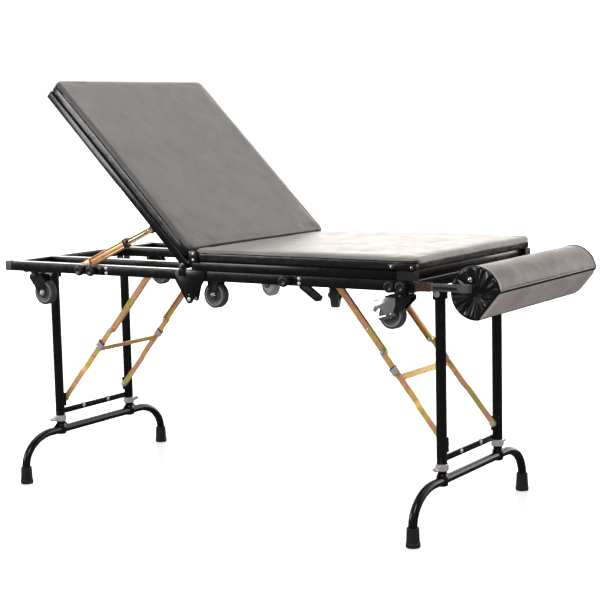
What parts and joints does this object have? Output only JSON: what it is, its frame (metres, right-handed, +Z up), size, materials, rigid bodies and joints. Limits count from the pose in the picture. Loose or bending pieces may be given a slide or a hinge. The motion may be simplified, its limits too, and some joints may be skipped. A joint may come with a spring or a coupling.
{
  "type": "folding treatment table",
  "caption": "Folding treatment table with raised back section, drop legs with lock braces, casters and a leg bolster",
  "frame": {"origin": "on the floor, at the centre of the sole of the near rubber ferrule of the leg-end leg set", "axes": "+X towards the leg end with the bolster, +Y towards the far long side, +Z up"},
  "size_m": [1.4468, 0.6381, 1.0918],
  "materials": {
    "black_paint": "black powder coat, satin",
    "board": "black laminated board",
    "chrome": "bright plated",
    "grey_plastic": "dark grey moulded plastic",
    "pink_plastic": "faded red moulded plastic",
    "plastic": "black moulded plastic",
    "rubber": "black rubber",
    "vinyl": "black vinyl upholstery, fine grain",
    "wheel": "dark grey rubber tread on grey plastic core",
    "zinc": "yellow iridescent zinc plate"
  },
  "bodies": {
    "foot_half": {"foot_frame": "black_paint", "seat_board": "board", "seat_cushion": "vinyl", "cap_foot_near": "plastic", "cap_foot_far": "plastic", "bolster_socket": "zinc", "caster_fork_3": "black_paint"},
    "head_half": {"head_frame": "black_paint", "cap_head_near": "grey_plastic", "cap_head_far": "grey_plastic"},
    "backrest": {"backrest_board": "board", "backrest_cushion": "vinyl"},
    "strut_outer": {"strut_channel": "zinc"},
    "strut_inner": {"strut_rod": "zinc"},
    "bolster_arm": {"bolster_bar": "chrome", "bolster_bar_cap": "plastic"},
    "bolster_pad": {"bolster_board": "board", "bolster_cushion": "vinyl"},
    "pedal": {"brake_pedal": "pink_plastic"},
    "head_legs": {"head_leg_upper": "black_paint", "head_clamp_near": "chrome", "head_clamp_far": "chrome"},
    "head_legs_ext": {"head_leg_lower": "black_paint", "head_ferrule_near": "rubber", "head_ferrule_far": "rubber"},
    "head_brace_low": {"head_brace_lower": "zinc"},
    "head_brace_up": {"head_brace_upper_near": "zinc", "head_brace_upper_far": "zinc"},
    "head_lock_near": {"head_sleeve_near": "chrome"},
    "head_lock_far": {"head_sleeve_far": "chrome"},
    "foot_legs": {"foot_leg_upper": "black_paint", "foot_clamp_near": "chrome", "foot_clamp_far": "chrome"},
    "foot_legs_ext": {"foot_leg_lower": "black_paint", "foot_ferrule_near": "rubber", "foot_ferrule_far": "rubber"},
    "foot_brace_low": {"foot_brace_lower": "zinc"},
    "foot_brace_up": {"foot_brace_upper_near": "zinc", "foot_brace_upper_far": "zinc"},
    "foot_lock_near": {"foot_sleeve_near": "chrome"},
    "foot_lock_far": {"foot_sleeve_far": "chrome"},
    "fork_1": {"caster_fork_1": "black_paint"},
    "fork_2": {"caster_fork_2": "black_paint"},
    "fork_4": {"caster_fork_4": "black_paint"},
    "fork_5": {"caster_fork_5": "black_paint"},
    "fork_6": {"caster_fork_6": "black_paint"},
    "fork_7": {"caster_fork_7": "black_paint"},
    "wheel_1": {"caster_wheel_1": "wheel"},
    "wheel_2": {"caster_wheel_2": "wheel"},
    "wheel_3": {"caster_wheel_3": "wheel"},
    "wheel_4": {"caster_wheel_4": "wheel"},
    "wheel_5": {"caster_wheel_5": "wheel"},
    "wheel_6": {"caster_wheel_6": "wheel"},
    "wheel_7": {"caster_wheel_7": "wheel"},
    "knob_head_1_body": {"knob_head_1": "plastic"},
    "knob_head_2_body": {"knob_head_2": "plastic"},
    "knob_mid_body": {"knob_mid": "plastic"},
    "knob_foot_1_body": {"knob_foot_1": "plastic"},
    "knob_foot_2_body": {"knob_foot_2": "plastic"}
  },
  "joints": [
    {"name": "frame_fold", "type": "hinge", "parent": "foot_half", "child": "head_half", "pos_m": [-0.6148, 0.2915, 0.5435], "axis": [0, -1, 0], "range_deg": [0, 75]},
    {"name": "backrest_recline", "type": "hinge", "parent": "head_half", "child": "backrest", "pos_m": [-0.6328, 0.2915, 0.624], "axis": [0, 1, 0], "range_deg": [-45, 0]},
    {"name": "strut_tilt", "type": "hinge", "parent": "head_half", "child": "strut_outer", "pos_m": [-0.9868, 0.021, 0.6095], "axis": [0, 1, 0], "range_deg": [0, 32]},
    {"name": "strut_extend", "type": "slide", "parent": "strut_outer", "child": "strut_inner", "axis": [0.9156, 0, 0.4021], "range_m": [-0.042, 0]},
    {"name": "head_leg_fold", "type": "hinge", "parent": "head_half", "child": "head_legs", "pos_m": [-1.2156, 0.2915, 0.57], "axis": [0, 1, 0], "range_deg": [-78, 0]},
    {"name": "head_leg_height", "type": "slide", "parent": "head_legs", "child": "head_legs_ext", "axis": [0, 0, -1], "range_m": [0, 0.15]},
    {"name": "head_brace_lower_swing", "type": "hinge", "parent": "head_legs", "child": "head_brace_low", "pos_m": [-1.2133, 0.2915, 0.2085], "axis": [0, 1, 0], "range_deg": [-36.48, 0]},
    {"name": "head_brace_upper_swing", "type": "hinge", "parent": "head_half", "child": "head_brace_up", "pos_m": [-0.8788, 0.2915, 0.597], "axis": [0, 1, 0], "range_deg": [0, 43.86]},
    {"name": "head_lock_near_slide", "type": "slide", "parent": "head_brace_low", "child": "head_lock_near", "axis": [0.6483, 0, 0.7613], "range_m": [0, 0.03]},
    {"name": "head_lock_far_slide", "type": "slide", "parent": "head_brace_low", "child": "head_lock_far", "axis": [0.6483, 0, 0.7613], "range_m": [0, 0.03]},
    {"name": "foot_leg_fold", "type": "hinge", "parent": "foot_half", "child": "foot_legs", "pos_m": [0, 0.2915, 0.57], "axis": [0, -1, 0], "range_deg": [-78, 0]},
    {"name": "foot_leg_height", "type": "slide", "parent": "foot_legs", "child": "foot_legs_ext", "axis": [0, 0, -1], "range_m": [0, 0.15]},
    {"name": "foot_brace_lower_swing", "type": "hinge", "parent": "foot_legs", "child": "foot_brace_low", "pos_m": [-0.0023, 0.2915, 0.2085], "axis": [0, -1, 0], "range_deg": [-42.76, 0]},
    {"name": "foot_brace_upper_swing", "type": "hinge", "parent": "foot_half", "child": "foot_brace_up", "pos_m": [-0.3203, 0.2915, 0.597], "axis": [0, -1, 0], "range_deg": [0, 37.25]},
    {"name": "foot_lock_near_slide", "type": "slide", "parent": "foot_brace_low", "child": "foot_lock_near", "axis": [-0.6352, 0, 0.7724], "range_m": [0, 0.03]},
    {"name": "foot_lock_far_slide", "type": "slide", "parent": "foot_brace_low", "child": "foot_lock_far", "axis": [-0.6352, 0, 0.7724], "range_m": [0, 0.03]},
    {"name": "caster_1_swivel", "type": "hinge", "parent": "head_half", "child": "fork_1", "pos_m": [-1.1528, 0.0175, 0.5827], "axis": [0, 0, 1], "continuous": true},
    {"name": "caster_1_roll", "type": "hinge", "parent": "fork_1", "child": "wheel_1", "pos_m": [-1.1288, 0.0175, 0.5325], "axis": [0, -1, 0], "continuous": true},
    {"name": "caster_2_swivel", "type": "hinge", "parent": "head_half", "child": "fork_2", "pos_m": [-1.1598, 0.5165, 0.5827], "axis": [0, 0, 1], "continuous": true},
    {"name": "caster_2_roll", "type": "hinge", "parent": "fork_2", "child": "wheel_2", "pos_m": [-1.1358, 0.5165, 0.5325], "axis": [0, -1, 0], "continuous": true},
    {"name": "caster_4_swivel", "type": "hinge", "parent": "head_half", "child": "fork_4", "pos_m": [-0.6438, 0.4015, 0.5827], "axis": [0, 0, 1], "continuous": true},
    {"name": "caster_4_roll", "type": "hinge", "parent": "fork_4", "child": "wheel_4", "pos_m": [-0.66618, 0.41016, 0.5325], "axis": [0.361, 0.9326, 0], "continuous": true},
    {"name": "caster_5_swivel", "type": "hinge", "parent": "foot_half", "child": "fork_5", "pos_m": [-0.0203, 0.0175, 0.5827], "axis": [0, 0, 1], "continuous": true},
    {"name": "caster_5_roll", "type": "hinge", "parent": "fork_5", "child": "wheel_5", "pos_m": [-0.0543, 0.0175, 0.5325], "axis": [0, 1, 0], "continuous": true},
    {"name": "caster_6_swivel", "type": "hinge", "parent": "foot_half", "child": "fork_6", "pos_m": [-0.3818, 0.2969, 0.5827], "axis": [0, 0, 1], "continuous": true},
    {"name": "caster_6_roll", "type": "hinge", "parent": "fork_6", "child": "wheel_6", "pos_m": [-0.37172, 0.27512, 0.5325], "axis": [-0.9074, -0.4202, 0], "continuous": true},
    {"name": "caster_7_swivel", "type": "hinge", "parent": "foot_half", "child": "fork_7", "pos_m": [-0.0203, 0.5655, 0.5827], "axis": [0, 0, 1], "continuous": true},
    {"name": "caster_7_roll", "type": "hinge", "parent": "fork_7", "child": "wheel_7", "pos_m": [-0.0543, 0.5655, 0.5325], "axis": [0, 1, 0], "continuous": true},
    {"name": "caster_3_roll", "type": "hinge", "parent": "foot_half", "child": "wheel_3", "pos_m": [-0.5548, 0.0165, 0.554], "axis": [0, 1, 0], "continuous": true},
    {"name": "brake_press", "type": "hinge", "parent": "fork_5", "child": "pedal", "pos_m": [-0.0603, 0.0175, 0.5715], "axis": [0, -1, 0], "range_deg": [0, 10]},
    {"name": "bolster_extend", "type": "slide", "parent": "foot_half", "child": "bolster_arm", "axis": [1, 0, 0], "range_m": [-0.02, 0.06]},
    {"name": "bolster_turn", "type": "hinge", "parent": "bolster_arm", "child": "bolster_pad", "pos_m": [0.1402, 0.2915, 0.6022], "axis": [0, 1, 0], "continuous": true},
    {"name": "knob_head_1_turn", "type": "hinge", "parent": "head_half", "child": "knob_head_1_body", "pos_m": [-0.9658, -0.0181, 0.602], "axis": [0, 1, 0], "continuous": true},
    {"name": "knob_head_2_turn", "type": "hinge", "parent": "head_half", "child": "knob_head_2_body", "pos_m": [-0.9278, -0.0181, 0.602], "axis": [0, 1, 0], "continuous": true},
    {"name": "knob_mid_turn", "type": "hinge", "parent": "foot_half", "child": "knob_mid_body", "pos_m": [-0.3238, -0.0181, 0.602], "axis": [0, 1, 0], "continuous": true},
    {"name": "knob_foot_1_turn", "type": "hinge", "parent": "foot_half", "child": "knob_foot_1_body", "pos_m": [-0.0378, -0.0181, 0.602], "axis": [0, 1, 0], "continuous": true},
    {"name": "knob_foot_2_turn", "type": "hinge", "parent": "foot_half", "child": "knob_foot_2_body", "pos_m": [-0.0088, -0.0181, 0.602], "axis": [0, 1, 0], "continuous": true}
  ],
  "couplings": [
    {"joint": "strut_tilt", "follows": "backrest_recline", "ratio": -0.6531},
    {"joint": "strut_extend", "follows": "backrest_recline", "m_per_rad": 0.05026},
    {"joint": "head_brace_lower_swing", "follows": "head_leg_fold", "ratio": 0.4613},
    {"joint": "head_brace_upper_swing", "follows": "head_leg_fold", "ratio": -0.5559},
    {"joint": "foot_brace_lower_swing", "follows": "foot_leg_fold", "ratio": 0.5418},
    {"joint": "foot_brace_upper_swing", "follows": "foot_leg_fold", "ratio": -0.4712}
  ]
}
